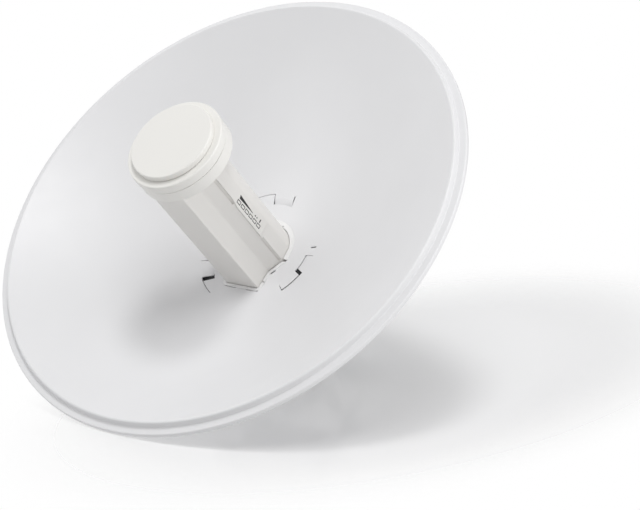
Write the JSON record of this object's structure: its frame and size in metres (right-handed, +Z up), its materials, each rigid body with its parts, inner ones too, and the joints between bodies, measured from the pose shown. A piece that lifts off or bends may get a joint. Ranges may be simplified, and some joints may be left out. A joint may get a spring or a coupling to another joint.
{
  "type": "dish antenna",
  "caption": "Small white dish antenna with a feed tube and round cap in its bowl and a steel pole clamp behind, for a radio link outdoors.",
  "frame": {"origin": "middle of the flat rear face of the pole bracket, which bears on the pole or a wall", "axes": "+Z up along the pole, +X to the right seen from the front of the bowl, the dish looks along -Y"},
  "size_m": [0.42, 0.2682, 0.42],
  "materials": {
    "white_paint": "smooth white powder coat",
    "white_plastic": "fine satin white moulding",
    "pale_plastic": "fine satin pale grey moulding",
    "zinc_steel": "zinc plated sheet and bolts",
    "dark_rubber": "matt"
  },
  "bodies": {
    "root": {"reflector_dish": "white_paint", "feed_tube": "white_plastic", "feed_collar": "white_plastic", "feed_cap_ring": "white_plastic", "feed_cap_disc": "white_plastic", "label_pad_right": "white_plastic", "label_pad_left": "white_plastic", "feed_socket": "white_plastic", "rear_housing": "white_plastic", "port_cover": "pale_plastic", "mount_pad": "pale_plastic", "port_plug": "dark_rubber", "tilt_bracket": "zinc_steel", "pole_bracket": "zinc_steel", "clamp_jaw": "zinc_steel", "bracket_screw_1": "zinc_steel", "bracket_screw_2": "zinc_steel", "bracket_screw_3": "zinc_steel", "bracket_screw_4": "zinc_steel", "pivot_bolt_right": "zinc_steel", "pivot_bolt_left": "zinc_steel", "pivot_nut_right": "zinc_steel", "pivot_nut_left": "zinc_steel", "lock_bolt_right": "zinc_steel", "lock_bolt_left": "zinc_steel", "lock_nut_right": "zinc_steel", "lock_nut_left": "zinc_steel", "clamp_bolt_right": "zinc_steel", "clamp_bolt_left": "zinc_steel", "clamp_washer_right": "zinc_steel", "clamp_washer_left": "zinc_steel", "clamp_nut_right": "zinc_steel", "clamp_nut_left": "zinc_steel"}
  },
  "joints": []
}
